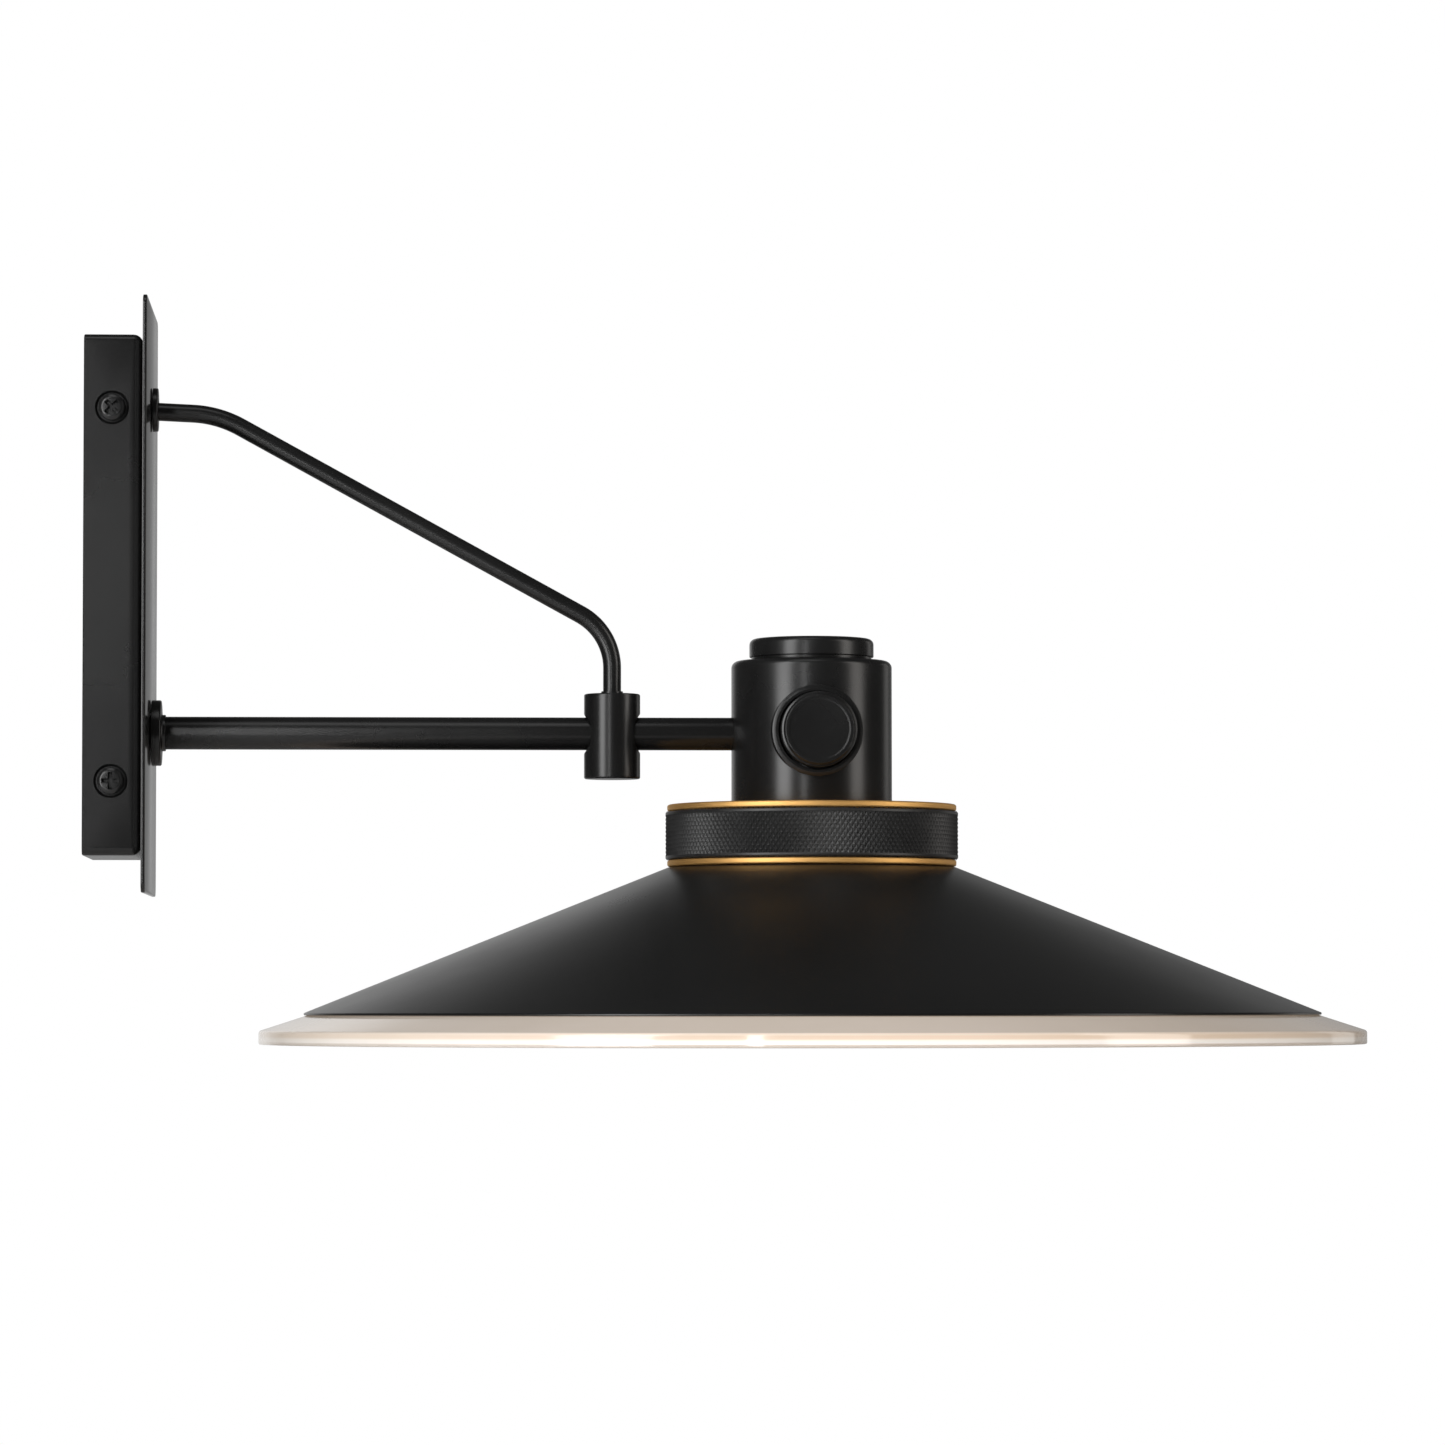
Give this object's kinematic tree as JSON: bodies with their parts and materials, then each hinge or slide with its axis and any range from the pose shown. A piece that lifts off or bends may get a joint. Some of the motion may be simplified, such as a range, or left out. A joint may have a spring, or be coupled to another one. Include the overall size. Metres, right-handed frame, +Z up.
{
  "type": "wall sconce",
  "caption": "Wall sconce: tall canopy with face plate, straight arm with bent brace, and a turning head that carries a conical metal shade over a wider opal glass one.",
  "frame": {"origin": "on the wall plane behind the canopy's centre, at the back face of the mounting bracket", "axes": "+X leaves the wall along the arm, +Z is up, +Y is to the right for someone who faces the wall"},
  "size_m": [0.4674, 0.4048, 0.2696],
  "materials": {
    "satin_black": "satin powder coat, fine grain",
    "black_screw": "blackened screw, semi-gloss",
    "shade_black": "smooth satin powder coat",
    "knurled_black": "satin black over cut diamond knurl",
    "satin_brass": "fine brushed satin",
    "brass_contact": "plain drawn brass",
    "bulb_base_metal": "rolled thread, bright",
    "zinc_steel": "zinc plated, dull",
    "green_steel": "green dyed zinc",
    "black_rubber": "matt",
    "bronze": "turned bearing bronze",
    "nylon": "natural nylon",
    "porcelain": "glazed, off-white",
    "opal_glass": "polished opal white",
    "bulb_glass": "soft white frosted"
  },
  "bodies": {
    "bracket": {"mounting_bracket": "zinc_steel", "ground_screw": "green_steel", "canopy_box": "satin_black", "face_plate": "satin_black", "canopy_screw_left_upper": "black_screw", "canopy_screw_left_lower": "black_screw", "canopy_screw_right_upper": "black_screw", "canopy_screw_right_lower": "black_screw", "arm_tube": "satin_black", "arm_flange": "satin_black", "arm_washer": "zinc_steel", "arm_locknut": "zinc_steel", "wire_bushing": "black_rubber", "strut_rod": "satin_black", "strut_boss": "satin_black", "strut_washer": "zinc_steel", "strut_locknut": "zinc_steel", "collar_block": "satin_black", "collar_set_screw": "zinc_steel", "inner_stop_collar": "zinc_steel", "end_stop_collar": "zinc_steel", "thrust_washer": "bronze"},
    "head": {"housing": "satin_black", "entry_bush": "bronze", "clamp_block": "zinc_steel", "block_screw_left": "zinc_steel", "block_screw_right": "zinc_steel", "top_cap": "satin_black", "cap_stud": "zinc_steel", "cap_stud_nut": "zinc_steel", "knob_bezel": "satin_black", "clamp_pad": "nylon", "brass_ring_upper": "satin_brass", "fitter_neck": "zinc_steel", "head_screw_1": "zinc_steel", "head_screw_2": "zinc_steel", "head_screw_3": "zinc_steel", "brass_ring_lower": "satin_brass", "metal_shade": "shade_black", "shade_spacer": "black_rubber", "glass_shade": "opal_glass", "glass_gasket": "black_rubber", "shade_nut": "satin_black", "shade_carrier": "zinc_steel", "socket_nipple": "zinc_steel", "nipple_nut": "zinc_steel", "socket_cap": "zinc_steel", "socket_body": "porcelain", "socket_shell": "brass_contact", "socket_contact": "brass_contact", "bulb_base": "bulb_base_metal", "bulb_globe": "bulb_glass"},
    "knob": {"clamp_knob": "satin_black", "knob_stem": "zinc_steel"},
    "ring": {"knurled_ring": "knurled_black"}
  },
  "joints": [
    {"name": "head_swing", "type": "hinge", "parent": "bracket", "child": "head", "pos_m": [0.265, 0, -0.0484], "axis": [1, 0, 0], "range_deg": [-60, 60]},
    {"name": "knob_turn", "type": "hinge", "parent": "head", "child": "knob", "pos_m": [0.265, -0.035, -0.0484], "axis": [0, -1, 0], "range_deg": [0, 270]},
    {"name": "ring_turn", "type": "hinge", "parent": "head", "child": "ring", "pos_m": [0.265, 0, -0.0855], "axis": [0, 0, 1], "range_deg": [0, 60]}
  ]
}
